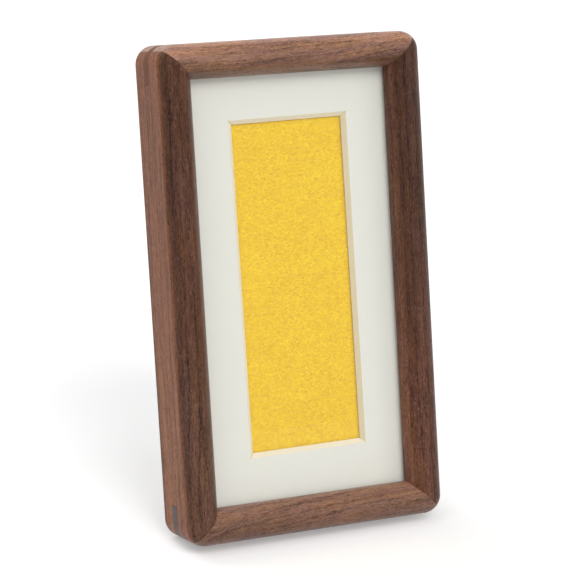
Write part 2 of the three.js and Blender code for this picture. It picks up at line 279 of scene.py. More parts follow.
def all_sizes(context):
    """Every size, with the places that follow from them."""
    settings = context.scene.picture_frame
    m = sizes_of(settings.moulding)
    s = sizes_of(settings.sheets)
    f = sizes_of(settings.fittings)
    t = sizes_of(settings.strut)
    m.half_width = m.sight_width / 2 + m.face_width
    m.height = m.sight_height + 2 * m.face_width
    m.middle = m.height / 2
    s.mat_front = 2 * s.gap + s.glazing
    s.felt_front = s.mat_front + s.mat + s.gap
    s.panel_front = s.felt_front + s.felt + s.mount + s.foam + 3 * s.gap
    s.half_width = m.sight_width / 2 + m.rebate_width - s.play
    s.half_height = m.sight_height / 2 + m.rebate_width - s.play
    f.button_front = m.rebate_depth + s.gap
    f.button_seat = f.button_front + f.button_thickness + s.gap
    f.leaf_front = -f.knuckle
    f.leaf_back = f.leaf_front + f.leaf_thickness
    t.front = f.leaf_back + s.gap
    t.back = t.front + t.thickness
    return m, s, f, t


# Bench tools


def take_up(*pieces):
    """Leaves edit mode and selects these pieces alone, the last of them active."""
    if bpy.context.object and bpy.context.object.mode != "OBJECT":
        bpy.ops.object.mode_set(mode="OBJECT")
    bpy.ops.object.select_all(action="DESELECT")
    for piece in pieces:
        piece.select_set(True)
        bpy.context.view_layer.objects.active = piece


def named(name):
    """Names the piece just added and puts its place into its mesh."""
    piece = bpy.context.object
    piece.name = piece.data.name = name
    bpy.ops.object.transform_apply(location=True, rotation=True, scale=True)
    return piece


def moved(piece, matrix):
    """Moves a piece that is taken up, and leaves its object unmoved."""
    piece.matrix_world = matrix
    bpy.ops.object.transform_apply(location=True, rotation=True, scale=True)
    return piece


def block(name, low, high):
    """A box between two corners."""
    take_up()
    low, high = Vector(low), Vector(high)
    bpy.ops.mesh.primitive_cube_add(size=1, location=(low + high) / 2, scale=high - low)
    return named(name)


def bar(name, radius, start, end, sides=32):
    """A round bar between two points."""
    take_up()
    start, end = Vector(start), Vector(end)
    way = end - start
    bpy.ops.mesh.primitive_cylinder_add(
        vertices=sides,
        radius=radius,
        depth=way.length,
        location=(start + end) / 2,
        rotation=way.to_track_quat("Z", "Y").to_euler(),
    )
    return named(name)


def copy_of(piece, name):
    take_up(piece)
    bpy.ops.object.duplicate()
    return named(name)


def pick(piece, part, test):
    """Edit mode, with the VERTs, EDGEs or FACEs that pass a test selected."""
    take_up(piece)
    bpy.ops.object.mode_set(mode="EDIT")
    bpy.ops.mesh.select_mode(type=part)
    bpy.ops.mesh.select_all(action="DESELECT")
    mesh = bmesh.from_edit_mesh(piece.data)
    for element in {"VERT": mesh.verts, "EDGE": mesh.edges, "FACE": mesh.faces}[part]:
        if test(element):
            element.select_set(True)
    mesh.select_flush_mode()
    bmesh.update_edit_mesh(piece.data)


def lies_at(axis, place):
    """A test: every vertex is at this place along an axis."""
    return lambda element: all(abs(v.co[axis] - place) < CLOSE for v in element.verts)


def runs_along(axis):
    """A test: an edge runs along an axis."""

    def test(edge):
        way = edge.verts[1].co - edge.verts[0].co
        return way.length - abs(way[axis]) < CLOSE * 0.1

    return test


def extrude(move):
    """Extrudes the picked faces along y."""
    bpy.ops.mesh.extrude_region_move(TRANSFORM_OT_translate={"value": (0, move, 0)})


def resize(along_x, along_z, centre=(0, 0, 0)):
    """Scales what is picked along x and z about a centre."""
    bpy.ops.transform.resize(value=(along_x, 1, along_z), center_override=centre)


def bevel(piece, test, width, segments=4, border=False):
    """Rounds the edges that pass a test, or the border of the faces that do."""
    pick(piece, "FACE" if border else "EDGE", test)
    if border:
        bpy.ops.mesh.region_to_loop()
    bpy.ops.mesh.bevel(
        offset=width, segments=segments, profile=0.5, affect="EDGES", clamp_overlap=False
    )
    take_up(piece)


def modify(piece, kind, **settings):
    """Adds a modifier and applies it."""
    take_up(piece)
    bpy.ops.object.modifier_add(type=kind)
    modifier = piece.modifiers[-1]
    for name, value in settings.items():
        setattr(modifier, name, value)
    bpy.ops.object.modifier_apply(modifier=modifier.name)


def carve(piece, cutter, operation="DIFFERENCE"):
    """Takes a cutter from a piece, or joins or crosses the two."""
    modify(piece, "BOOLEAN", object=cutter, operation=operation, solver="EXACT")
    bpy.data.objects.remove(cutter)


def soften(piece, width, segments=3, degrees=35):
    """Rounds every edge sharper than an angle."""
    modify(
        piece,
        "BEVEL",
        width=width,
        segments=segments,
        limit_method="ANGLE",
        angle_limit=math.radians(degrees),
        use_clamp_overlap=True,
        harden_normals=False,
    )


def saw(piece, point, normal):
    """Cuts a piece by a plane and drops what the normal points to."""
    pick(piece, "FACE", lambda face: True)
    bpy.ops.mesh.bisect(
        plane_co=point, plane_no=normal, use_fill=True, clear_outer=True, threshold=CLOSE / 10
    )
    take_up(piece)


def has_straight_corner(face):
    """A test: a four-sided face whose shape is a triangle's."""
    return len(face.verts) == 4 and any(loop.calc_angle() > STRAIGHT for loop in face.loops)


def cleaned(piece):
    """Takes out the slivers that the cuts leave."""
    pick(piece, "VERT", lambda vertex: True)
    bpy.ops.mesh.remove_doubles(threshold=CLOSE / 2)
    bpy.ops.mesh.dissolve_degenerate(threshold=CLOSE / 2)
    pick(piece, "FACE", has_straight_corner)
    bpy.ops.mesh.quads_convert_to_tris(quad_method="BEAUTY", ngon_method="BEAUTY")
    take_up(piece)


def smooth(piece, degrees=32):
    """Shades the curves smooth and leaves the arrises crisp."""
    cleaned(piece)
    bpy.ops.object.shade_smooth_by_angle(angle=math.radians(degrees))
    modify(piece, "WEIGHTED_NORMAL", keep_sharp=True, weight=80)


def crisp(piece, test):
    """Marks the border of the faces that pass a test sharp, so that they shade flat."""
    pick(piece, "FACE", test)
    bpy.ops.mesh.region_to_loop()
    bpy.ops.mesh.mark_sharp()
    take_up(piece)


def set_down(piece, body, finish, stands_for, origin=None, turn=0.0):
    """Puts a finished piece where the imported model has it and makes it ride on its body."""
    take_up(piece)
    origin = origin or bench_origin()
    tilt = Matrix.Rotation(turn - LEAN, 4, "X")
    moved(piece, Matrix.Translation(origin) @ tilt @ Matrix.Scale(MM, 4))
    piece.data.materials.clear()
    piece.data.materials.append(finish)
    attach(piece, body)
    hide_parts(stands_for)


def finish_packed(name, finish):
    """Gives a packed sheet its finish, since its form is complete."""
    sheet = frame["nodes"][name]
    sheet.data.materials.clear()
    sheet.data.materials.append(finish)


def bench_origin():
    """Where the bench's origin stands, from the top button's screw."""
    m, _, f, _ = all_sizes(bpy.context)
    screw = Vector((0, f.button_front + f.button_thickness / 2, m.height - f.button_inset)) * MM
    turned = Matrix.Rotation(-LEAN, 3, "X") @ screw
    return Vector(joints["button_top_turn"]["pos_m"]) - turned


# Shader tools


def both_ways(operation):
    """The methods of a sign, for a value on its left and for one on its right."""
    return (
        lambda value, other: reckon(operation, value, other),
        lambda value, other: reckon(operation, other, value),
    )


class Value:
    """An output in a shader tree. A sum with it adds a Math node, or a vector's own kind."""

    __add__, __radd__ = both_ways("ADD")
    __sub__, __rsub__ = both_ways("SUBTRACT")
    __mul__, __rmul__ = both_ways("MULTIPLY")
    __truediv__, __rtruediv__ = both_ways("DIVIDE")
    __pow__, __rpow__ = both_ways("POWER")

    def __init__(self, socket):
        self.socket = socket
        self.tree = socket.id_data
        self.is_vector = socket.type in ("VECTOR", "RGBA")


def node(tree, kind, inputs=None, **settings):
    """A new node. What it takes in is plain, or a Value to link."""
    made = tree.nodes.new(kind)
    for name, value in settings.items():
        setattr(made, name, value)
    for key, value in (inputs or {}).items():
        if isinstance(value, Value):
            tree.links.new(value.socket, made.inputs[key])
        else:
            made.inputs[key].default_value = value
    return made


def add(tree, kind, inputs=None, output=0, **settings):
    """One output of a new node."""
    return Value(node(tree, kind, inputs, **settings).outputs[output])


def reckon(operation, *values, clamp=False):
    """A sum of values, one of them at least a Value."""
    first = next(value for value in values if isinstance(value, Value))
    inputs = dict(enumerate(values))
    if first.is_vector:
        return add(first.tree, "ShaderNodeVectorMath", inputs, operation=operation)
    return add(first.tree, "ShaderNodeMath", inputs, operation=operation, use_clamp=clamp)


def in_millimetres(place):
    return add(place.tree, "ShaderNodeVectorMath", {0: place, "Scale": 1 / MM}, operation="SCALE")


def parts(place):
    """The three parts of a vector."""
    return [Value(part) for part in node(place.tree, "ShaderNodeSeparateXYZ", {0: place}).outputs]


def blend(share, a, b, way="MIX"):
    """Two colours mixed by a share."""
    # A Mix node's inputs share their names, so they are found by their order
    inputs = {0: share, 6: a, 7: b}
    tree = next(value.tree for value in inputs.values() if isinstance(value, Value))
    return add(
        tree, "ShaderNodeMix", inputs, 2, data_type="RGBA", blend_type=way, clamp_factor=True
    )


def grade(value, low, high, to_low=0.0, to_high=1.0):
    """Spreads a value between two limits, softly."""
    inputs = {0: value, 1: low, 2: high, 3: to_low, 4: to_high}
    return add(value.tree, "ShaderNodeMapRange", inputs, interpolation_type="SMOOTHSTEP")


def noise(place, scale, detail=2.0, roughness=0.5, distortion=0.0, output="Fac"):
    """Soft noise about 0.5; the scale is per unit of the place."""
    inputs = {
        "Vector": place,
        "Scale": scale,
        "Detail": detail,
        "Roughness": roughness,
        "Distortion": distortion,
    }
    return add(place.tree, "ShaderNodeTexNoise", inputs, output)


def shared(name):
    """Makes a shader group the first time that it is asked for, and finds it after that."""
    return lambda make: lambda: bpy.data.node_groups.get(name) or make(name)


def group(name, inputs, outputs=("Colour", "Roughness", "Height")):
    """An empty shader group that takes a place and these inputs: its tree and its inputs."""
    tree = bpy.data.node_groups.new(name, "ShaderNodeTree")

    def socket(label, way, kind):
        return tree.interface.new_socket(name=label, in_out=way, socket_type=f"NodeSocket{kind}")

    socket("Place", "INPUT", "Vector")
    for label, default in inputs.items():
        kind = "Color" if isinstance(default, tuple) else "Float"
        socket(label, "INPUT", kind).default_value = default
    for label in outputs:
        socket(label, "OUTPUT", "Color" if label == "Colour" else "Float")
    start = node(tree, "NodeGroupInput").outputs
    return tree, {label: Value(start[label]) for label in ("Place", *inputs)}


def finish_group(tree, **outputs):
    end = {label.capitalize(): value for label, value in outputs.items()}
    node(tree, "NodeGroupOutput", end)
    return tree


def pores(place, cell, share, thickness):
    """A mask of open pores: long cells, a share of them with a dark middle."""
    inputs = {"Vector": place / cell, "Scale": 1.0, "Randomness": 1.0}
    cells = node(place.tree, "ShaderNodeTexVoronoi", inputs, feature="F1").outputs
    chance = add(place.tree, "ShaderNodeSeparateColor", {"Color": Value(cells["Color"])})
    size = grade(chance, 1 - share, 1.0, 0.0, thickness)
    return grade(size - Value(cells["Distance"]), -0.05, 0.12)


@shared("Wood figure")
def wood_figure(name):
    """Walnut: rings about a far pith, broad tones, streaks, fibres and open pores along Z."""
    white = (1, 1, 1, 1)
    tree, given = group(
        name,
        {
            "Light": (0.4, 0.25, 0.16, 1),
            "Dark": (0.1, 0.06, 0.04, 1),
            "Pore": (0.03, 0.015, 0.01, 1),
            "Ring width": 3.0,
            "Bow": 0.0,
            "Figure": 1.0,
            "Pores": 1.0,
            "Outer": 0.0,
            "Outer tint": white,
            "Inner": 0.0,
            "Inner tint": white,
            "Foot": 0.0,
            "Foot tint": white,
        },
    )
    place = in_millimetres(given["Place"])
    # The board's bow, and slow and quick waves of the grain
    along = parts(place)[Z]
    bow = along * along * given["Bow"]
    bent = place + add(tree, "ShaderNodeCombineXYZ", {0: bow})
    for scale, amount in ((0.045, 7.0), (0.4, 0.9)):
        wave = noise(place * (1, 1, 0.3), scale, output="Color")
        bent = bent + (wave - (0.5, 0.5, 0.5)) * (amount, amount, 0)
    # Rings, each darker towards its late wood
    across = bent * (1, 1, 0.012)
    radius = add(tree, "ShaderNodeVectorMath", {0: across}, "Value", operation="LENGTH")
    turns = radius / given["Ring width"] + noise(across, 0.22, 1.0) * 1.6
    turn = reckon("FRACT", turns)
    dark = turn**2.6 * grade(turn, 0.9, 1.0, 1.0, 0.0) * 0.32
    layers = {}
    for layer, stretch, scale, detail, share in (
        ("tones", 0.07, 0.22, 2.0, 1.1),
        ("streaks", 0.05, 1.1, 3.0, 0.7),
        ("fibres", 0.07, 3.2, 3.0, 1.5),
        ("blotches", 0.4, 0.6, 4.0, 0.4),
        ("flecks", 0.3, 3.0, 3.0, 1.3),
    ):
        layers[layer] = noise(bent * (1, 1, stretch), scale, detail, 0.6)
        dark = dark + (layers[layer] - 0.5) * share
    fibre = layers["fibres"]
    dark = reckon("ADD", dark * given["Figure"], 0.4, clamp=True)
    wood = blend(dark, given["Light"], given["Dark"])
    # Golden and reddish parts
    hue = noise(bent * (1, 1, 0.12), 0.35, 3.0)
    tint = blend(grade(hue, 0.38, 0.62), (1.08, 1.0, 0.84, 1), (1.0, 0.93, 0.97, 1))
    wood = blend(1.0, wood, tint, "MULTIPLY")
    fine = pores(bent, (0.42, 0.42, 1.7), 0.5, 0.42)
    coarse = pores(bent, (0.85, 0.85, 3.2), 0.22, 0.27)
    pore = reckon("MAXIMUM", fine * 0.8, coarse) * given["Pores"]
    wood = blend(pore * 0.64, wood, given["Pore"])
    # Pale flecks in the pores: painted glints of the waxed finish
    painted_glints = pores(bent + (31, 17, 5), (0.5, 0.5, 1.2), 0.35, 0.4)
    wood = blend(painted_glints * 0.12, wood, (0.45, 0.33, 0.27, 1))
    # The bands paint light and shade: each multiplies the wood by its tint where it lies
    for band in ("Outer", "Inner", "Foot"):
        wood = wood * blend(given[band], white, given[f"{band} tint"])
    rough = 0.27 + fibre * 0.2 + pore * 0.3
    return finish_group(tree, colour=wood, roughness=rough, height=fibre * 0.6 - pore)


@shared("Edge band")
def edge_band(name):
    """How far a bench place lies from one inset of the frame's outer side to another."""
    m, *_ = all_sizes(bpy.context)
    tree, given = group(name, {"From": 1.0, "To": 0.0}, ["Share"])
    x, _, z = parts(in_millimetres(given["Place"]))
    x = m.half_width - reckon("ABSOLUTE", x)
    z = m.height / 2 - reckon("ABSOLUTE", z - m.middle)
    # Rounded as the frame's corners are: beyond a corner's centre the way out turns with it
    short_x, short_z = (reckon("MAXIMUM", m.corner_radius - inset, 0.0) for inset in (x, z))
    out = reckon("SQRT", short_x * short_x + short_z * short_z)
    deep = reckon("MAXIMUM", reckon("MINIMUM", x, z), m.corner_radius)
    along = (deep - out - given["From"]) / (given["To"] - given["From"])
    return finish_group(tree, share=grade(along, 0.0, 1.0))


@shared("Mottle")
def mottled(name):
    """Small unevenness of card and board: a colour, a roughness and a height."""
    tree, given = group(
        name,
        {
            "Light": (0.8, 0.8, 0.8, 1),
            "Dark": (0.6, 0.6, 0.6, 1),
            "Grain": 1.0,
            "Contrast": 1.0,
            "Roughness base": 0.85,
        },
    )
    place = in_millimetres(given["Place"])
    scale = 1.0 / given["Grain"]
    fine = noise(place, scale, 3.0, 0.65)
    broad = noise(place, scale * 0.12)
    share = (fine * 0.65 + broad * 0.35 - 0.5) * given["Contrast"]
    share = reckon("ADD", share * 3.0, 0.5, clamp=True)
    shade = blend(share, given["Dark"], given["Light"])
    rough = given["Roughness base"] + fine * 0.08
    return finish_group(tree, colour=shade, roughness=rough, height=fine)


@shared("Felt fibres")
def felt_fibres(name):
    """Felt: short curling fibres that lie mostly across, over broad unevenness."""
    tree, given = group(name, {"Light": (0.9, 0.6, 0.04, 1), "Dark": (0.7, 0.4, 0.02, 1)})
    lying = in_millimetres(given["Place"]) * (0.5, 1, 1)
    layers = [
        (noise(lying, scale, detail, 0.6, distortion), amount)
        for scale, detail, distortion, amount in (
            (1.7, 3.0, 1.5, 2.3),
            (0.8, 2.0, 2.0, 0.7),
            (3.6, 2.0, 0.8, 1.3),
            (0.12, 2.0, 0.5, 0.35),
        )
    ]
    first, *rest = [(layer - 0.5) * amount for layer, amount in layers]
    share = reckon("ADD", sum(rest, first), 0.56, clamp=True)
    shade = blend(share, given["Dark"], given["Light"])
    fibre, _ = layers[0]
    return finish_group(tree, colour=shade, roughness=0.85 + fibre * 0.1, height=share)


@shared("Metal handling")
def metal_handling(name):
    """Tarnish, cloudiness and fine scratches of handled metal."""
    tree, given = group(name, {"Metal": (0.6, 0.4, 0.15, 1)})
    place = in_millimetres(given["Place"])
    cloud = noise(place, 0.35, 3.0, 0.6)
    scratch = noise(place * (9, 9, 0.5), 1.0)
    tarnish = grade(cloud, 0.42, 0.72)
    dull = blend(0.45, given["Metal"], (0.16, 0.09, 0.04, 1))
    metal = blend(tarnish * 0.5, given["Metal"], dull)
    rough = 0.24 + cloud * 0.2 + scratch * 0.08
    return finish_group(tree, colour=metal, roughness=rough, height=scratch)


def spaced(values):
    """Labels as the sockets have them, with spaces."""
    return {label.replace("_", " "): value for label, value in values.items()}


def blank_material(name):
    """A material without nodes, and its tree."""
    made = bpy.data.materials.new(name)
    made.use_nodes = True
    made.node_tree.nodes.clear()
    return made, made.node_tree


def material(name, pattern, values, turn=(0, 0, 0), shift=(0, 0, 0), relief=0.02, **surface):
    """A Principled material that takes colour, roughness and height from a pattern group.

    The bands Outer, Inner and Foot each say where they start and end, and their tint, painted
    light and shade on the wood.
    """
    made, tree = blank_material(name)
    # To the bench's axes, then to the grain's
    place = add(tree, "ShaderNodeTexCoord", output="Object")
    origin = -(Matrix.Rotation(LEAN, 3, "X") @ bench_origin())
    upright = {"Vector": place, "Location": origin, "Rotation": (LEAN, 0, 0)}
    bench = add(tree, "ShaderNodeMapping", upright)
    along_grain = {"Vector": bench, "Location": shift, "Rotation": turn}
    inputs = {"Place": add(tree, "ShaderNodeMapping", along_grain)}
    for label, value in spaced(values).items():
        if label in ("Outer", "Inner", "Foot"):
            # Each band's tint is painted light and shade; the foot's grows towards the bottom
            start, end, tint = value
            inputs[f"{label} tint"] = rgba(tint)
            if label == "Foot":
                value = grade(parts(bench)[Z], start * MM, end * MM)
            else:
                band = {"Place": bench, "From": start, "To": end}
                value = add(tree, "ShaderNodeGroup", band, node_tree=edge_band())
        inputs[label] = value
    figure = node(tree, "ShaderNodeGroup", inputs, node_tree=pattern)
    colour, roughness, height = map(Value, figure.outputs)
    uneven = {"Height": height, "Strength": 0.6, "Distance": relief * MM}
    bump = add(tree, "ShaderNodeBump", uneven)
    look = {"Base Color": colour, "Roughness": roughness, "Normal": bump}
    shader = add(tree, "ShaderNodeBsdfPrincipled", look | spaced(surface))
    node(tree, "ShaderNodeOutputMaterial", {"Surface": shader})
    return made


def rgba(value, strength=1.0):
    """A colour with its alpha, made darker by a strength below 1."""
    return (*(strength * part for part in value), 1)


def paper(name, shade, dark, grain, relief=0.02, light=1.0, gloss=0.5, **values):
    """Mottled card or board. Its dark and its light parts are shares of its shade."""
    values |= {"Light": rgba(shade, light), "Dark": rgba(shade, dark), "Grain": grain}
    return material(name, mottled(), values, relief=relief, Specular_IOR_Level=gloss)


def walnut(name, shade, shift, turn=(0, 0, 0), tone=1.0, gloss=0.09, **values):
    """Walnut of one board; the turn brings its grain to Z, and the tone makes it darker."""
    finishes = bpy.context.scene.picture_frame.finishes
    colours = {
        "Light": rgba(getattr(finishes, f"{shade}_light"), tone),
        "Dark": rgba(getattr(finishes, f"{shade}_dark"), tone),
        "Pore": rgba(finishes.pore),
    }
    return material(
        name,
        wood_figure(),
        colours | values,
        turn=turn,
        shift=[part * MM for part in shift],
        relief=0.09,
        Specular_IOR_Level=gloss,
    )


def brass():
    finishes = bpy.context.scene.picture_frame.finishes
    metal = {"Metal": rgba(finishes.brass)}
    return material("satin_brass", metal_handling(), metal, relief=0.004, Metallic=1.0)


# Moulding

SIDES = {"left": (-1, 0), "right": (1, 0), "top": (0, 1), "bottom": (0, -1)}
CORNERS = {
    "top_left": (-1, 1),
    "top_right": (1, 1),
    "bottom_left": (-1, -1),
    "bottom_right": (1, -1),
}
NODES = {"left": "stile_left", "right": "stile_right", "top": "rail_top", "bottom": "rail_bottom"}

# How many flats make up each of the moulding's curves
CORNER_STEPS, ROUND_STEPS, EASE_STEPS, SLOPE_STEPS = 16, 14, 5, 12

# What sets each side's wood apart. The shift says where in the log its board lay. A band fades
# in from its first inset from the outer side to its second, or for the foot from one height to
# another, and multiplies the wood by its colour. The bands are painted light and shade: a
# painted sheen on the stiles' outer sides, painted light bounced from the mat on their inner
# slopes, painted light that grows towards their feet, painted top light on the top rail's upper
# round-over, partly its golden wood, and on the bottom rail's upward slope, and painted shade
# on the top rail's downward slope.
ALONG_X = (0, math.pi / 2, 0)
WOODS = {
    "left": dict(
        shade="stile",
        shift=(31, 22, 7),
        tone=1.02,
        gloss=0.07,
        Ring_width=3.6,
        Outer=(0.6, 0.02, (2.15, 1.68, 1.12)),
        Inner=(9.0, 11.5, (1.35, 1.45, 1.55)),
        Foot=(85, 30, (1.12, 1.22, 1.27)),
    ),
    "right": dict(
        shade="stile",
        shift=(-75, 18, 64),
        tone=0.79,
        Ring_width=3.0,
        Outer=(1.2, 0.1, (1.6, 1.6, 1.6)),
        Inner=(9.5, 11.5, (1.65, 1.72, 1.76)),
        Foot=(95, 45, (1.46, 1.4, 1.36)),
    ),
    "top": dict(
        shade="rail",
        shift=(-148, 20, -20),
        turn=ALONG_X,
        gloss=0.3,
        Ring_width=3.2,
        Bow=-0.0016,
        Outer=(4.8, 2.0, (1.6, 1.65, 1.65)),
        Inner=(8.0, 11.0, (0.85, 0.9, 0.95)),
    ),
    "bottom": dict(
        shade="rail",
        shift=(24, 24, 34),
        turn=ALONG_X,
        tone=0.74,
        gloss=0.3,
        Ring_width=3.4,
        Bow=0.0014,
        Inner=(7.5, 10.0, (1.65, 1.75, 1.85)),
    ),
}


def moulding_blank(m):
    """The rounded block that the four sides and the splines are cut from."""
    blank = block(
        "blank",
        (-m.half_width, -m.crest_height, 0),
        (m.half_width, m.rebate_depth, m.height),
    )
    bevel(blank, runs_along(Y), m.corner_radius, CORNER_STEPS)
    bevel(blank, lies_at(Y, -m.crest_height), m.outer_round, ROUND_STEPS)
    bevel(blank, lies_at(Y, m.rebate_depth), m.rear_ease, EASE_STEPS)
    return blank


def sight_cutter(m):
    """The opening, and the slope down to it from the crest."""
    run = m.face_width - m.outer_round - m.crest_flat
    fall = m.crest_height - m.lip_height
    shares = [k / SLOPE_STEPS for k in range(SLOPE_STEPS + 1)]
    rings = [(share * run, m.lip_height + fall * (1 - (1 - share) ** 2)) for share in shares]
    rings.append((run, m.crest_height + m.outer_round))
    half_w, half_h = m.sight_width / 2, m.sight_height / 2
    cutter = block(
        "sight_cutter",
        (-half_w, -rings[0][1], m.middle - half_h),
        (half_w, m.rebate_depth / 2, m.middle + half_h),
    )
    for (run_a, rise_a), (run_b, rise_b) in zip(rings, rings[1:]):
        pick(cutter, "FACE", lies_at(Y, -rise_a))
        extrude(rise_a - rise_b)
        wider, higher = ((half + run_b) / (half + run_a) for half in (half_w, half_h))
        resize(wider, higher, (0, -rise_b, m.middle))
    take_up(cutter)
    return cutter


def spline_tool(name, corner, m, spare):
    """The wedge of a spline across one corner, or with some to spare, of its slot."""
    sign_x, sign_z = corner
    reach = m.spline_reach + spare * math.sqrt(2)
    half = m.spline_thickness / 2 + spare
    over = reach + m.corner_radius
    x = sign_x * m.half_width
    z = m.middle + sign_z * m.height / 2
    tool = block(
        name,
        (x - over, m.spline_depth - half, z - over),
        (x + over, m.spline_depth + half, z + over),
    )
    saw(tool, (x - sign_x * reach, 0, z), (-sign_x, 0, -sign_z))
    return tool


def is_mitre(face):
    """A test: a face lies along a mitre."""
    x, y, z = (abs(part) for part in face.normal)
    return abs(x - z) < FLUSH and y < FLUSH


def on_crest_line(place, m):
    """Whether a place is on the line where the slope down to the opening begins."""
    inset = min(m.half_width - abs(place.x), m.height / 2 - abs(place.z - m.middle))
    level = abs(place.y + m.crest_height) < CLOSE
    return level and abs(inset - m.outer_round - m.crest_flat) < CLOSE


class AddMoulding(bpy.types.Operator):
    """Make the two stiles and the two rails, mitred, with a slot across each corner"""

    bl_idname = "picture_frame.add_moulding"
    bl_label = "Moulding"

    def execute(self, context):
        m, *_ = all_sizes(context)
        ring = moulding_blank(m)
        carve(ring, sight_cutter(m))
        half_w = m.sight_width / 2 + m.rebate_width
        half_h = m.sight_height / 2 + m.rebate_width
        carve(
            ring,
            block(
                "rebate_cutter",
                (-half_w, 0, m.middle - half_h),
                (half_w, 2 * m.rebate_depth, m.middle + half_h),
            ),
        )
        for name, (out_x, out_z) in SIDES.items():
            side = copy_of(ring, f"moulding_{name}")
            saw(side, (0, 0, m.middle), (-out_x, 0, -out_z))
            for end in (-1, 1):
                corner = (
                    (out_x or end) * m.half_width,
                    0,
                    m.middle + (out_z or end) * m.height / 2,
                )
                normal = (end * abs(out_z) - out_x, 0, end * abs(out_x) - out_z)
                saw(side, corner, normal)
            bevel(side, is_mitre, m.mitre_ease, segments=2, border=True)
            # The bevel leaves the crest's inner line with two ends at a mitre
            pick(side, "VERT", lambda vertex: on_crest_line(vertex.co, m))
            bpy.ops.mesh.remove_doubles(threshold=m.mitre_ease)
            take_up(side)
            for corner_name, corner in CORNERS.items():
                if name in corner_name:
                    carve(side, spline_tool("slot", corner, m, m.glue_line))
            smooth(side)
            wood = walnut(f"walnut_{name}", **WOODS[name])
            set_down(side, "frame", wood, NODES[name])
        bpy.data.objects.remove(ring)
        return {"FINISHED"}


class AddSplines(bpy.types.Operator):
    """Make the four dark slips let in across the corners, sanded flush"""

    bl_idname = "picture_frame.add_splines"
    bl_label = "Corner splines"

    def execute(self, context):
        m, *_ = all_sizes(context)
        finishes = context.scene.picture_frame.finishes
        for index, (name, corner) in enumerate(CORNERS.items()):
            sign_x, sign_z = corner
            upper = sign_z > 0
            light = finishes.spline_brown if upper else finishes.spline
            colours = {"Light": rgba(light), "Dark": rgba(light, 0.55), "Pore": rgba(finishes.pore)}
            wood = material(
                f"spline_wood_{name}",
                wood_figure(),
                colours | {"Ring width": 2.4, "Pores": 0.7},
                turn=(0, math.radians(45) * sign_x * sign_z, 0),
                shift=(0.02 + 0.03 * index, 0.04, 0.02 * index),
                relief=0.03,
                Specular_IOR_Level=0.04 if upper else 0.14,
            )
            spline = moulding_blank(m)
            spline.name = spline.data.name = f"corner_spline_{name}"
            carve(spline, spline_tool("wedge", corner, m, 0), "INTERSECT")
            smooth(spline)
            set_down(spline, "frame", wood, f"spline_{name}")
        return {"FINISHED"}


# Sheets in the rebate


def sheet(name, s, m, front, thickness):
    return block(
        name,
        (-s.half_width, front, m.middle - s.half_height),
        (s.half_width, front + thickness, m.middle + s.half_height),
    )


def glass():
    """Clear glazing that lets the lamps through to the sheets behind it."""
    made, tree = blank_material("clear_glazing")
    rays = node(tree, "ShaderNodeLightPath").outputs
    share = reckon("MAXIMUM", Value(rays["Is Shadow Ray"]), Value(rays["Is Diffuse Ray"]))
    look = {
        "Base Color": (0.985, 0.995, 0.99, 1),
        "Transmission Weight": 1.0,
        "IOR": 1.38,
        "Roughness": 0.0,
    }
    shader = add(tree, "ShaderNodeBsdfPrincipled", look)
    clear = add(tree, "ShaderNodeBsdfTransparent")
    mixed = add(tree, "ShaderNodeMixShader", {0: share, 1: shader, 2: clear})
    node(tree, "ShaderNodeOutputMaterial", {"Surface": mixed})
    return made


class AddGlazing(bpy.types.Operator):
    """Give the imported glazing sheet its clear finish"""

    bl_idname = "picture_frame.add_glazing"
    bl_label = "Glazing"

    def execute(self, context):
        finish_packed("glazing_sheet", glass())
        return {"FINISHED"}


def knife_mark(s, inner, sign_x, sign_z):
    """A thin blade along the mitre of the bevel, from its inner corner outwards."""
    along = Vector((sign_x, -1, sign_z)).normalized()
    across = Vector((sign_z, 0, -sign_x)).normalized()
    end = s.mat * math.sqrt(3) + s.knife_mark
    half = s.blade / 2
    blade = block("blade", (-s.knife_mark, -half, -s.knife_mark), (end, half, s.knife_mark))
    turn = Matrix((along, across, along.cross(across))).transposed().to_4x4()
    return moved(blade, Matrix.Translation(inner) @ turn)


class AddMat(bpy.types.Operator):
    """Make the window mat, with its pale core showing in the bevel"""

    bl_idname = "picture_frame.add_mat"
    bl_label = "Window mat"

    def execute(self, context):
        m, s, *_ = all_sizes(context)
        finishes = context.scene.picture_frame.finishes
        mat = sheet("window_mat", s, m, s.mat_front, s.mat)
        back = s.mat_front + s.mat
        centre = (s.window_shift, 0, m.middle + s.window_rise)
        half_w, half_h = s.window_width / 2, s.window_height / 2
        cutter = block(
            "window_cutter",
            (centre[X] - half_w, s.mat_front - s.gap, centre[Z] - half_h),
            (centre[X] + half_w, back + s.gap, centre[Z] + half_h),
        )
        for place, grown in ((s.mat_front - s.gap, s.mat + s.gap), (back + s.gap, -s.gap)):
            pick(cutter, "FACE", lies_at(Y, place))
            resize((half_w + grown) / half_w, (half_h + grown) / half_h, centre)
        for sign_x, sign_z in CORNERS.values():
            inner = Vector((centre[X] + sign_x * half_w, back, centre[Z] + sign_z * half_h))
            carve(cutter, knife_mark(s, inner, sign_x, sign_z), "UNION")
        pick(cutter, "VERT", lambda vertex: True)
        bpy.ops.transform.rotate(
            value=s.window_turn, orient_axis="Y", center_override=(centre[X], 0, centre[Z] - half_h)
        )
        carve(mat, cutter)
        cleaned(mat)
        card = paper("card_face", finishes.card, 0.96, 0.5, 0.006, gloss=0.3, Contrast=0.6)
        set_down(mat, "frame", card, "mat_board")
        # The second core colour is painted shade, for the right bevel alone
        for name, shade in (("card_core", finishes.core), ("card_core_right", finishes.core_warm)):
            core = paper(name, shade, 0.93, 0.35, 0.01, gloss=0.2)
            mat.data.materials.append(core)
        for face in mat.data.polygons:
            normal = Matrix.Rotation(LEAN, 3, "X") @ face.normal
            # The bevel on the right faces left and forwards, at 45 degrees, and takes the darker
            # core colour, a painted shade
            right = -0.9 < normal.x < -0.5
            face.material_index = 0 if abs(normal.y) > 0.9 else 2 if right else 1
        return {"FINISHED"}


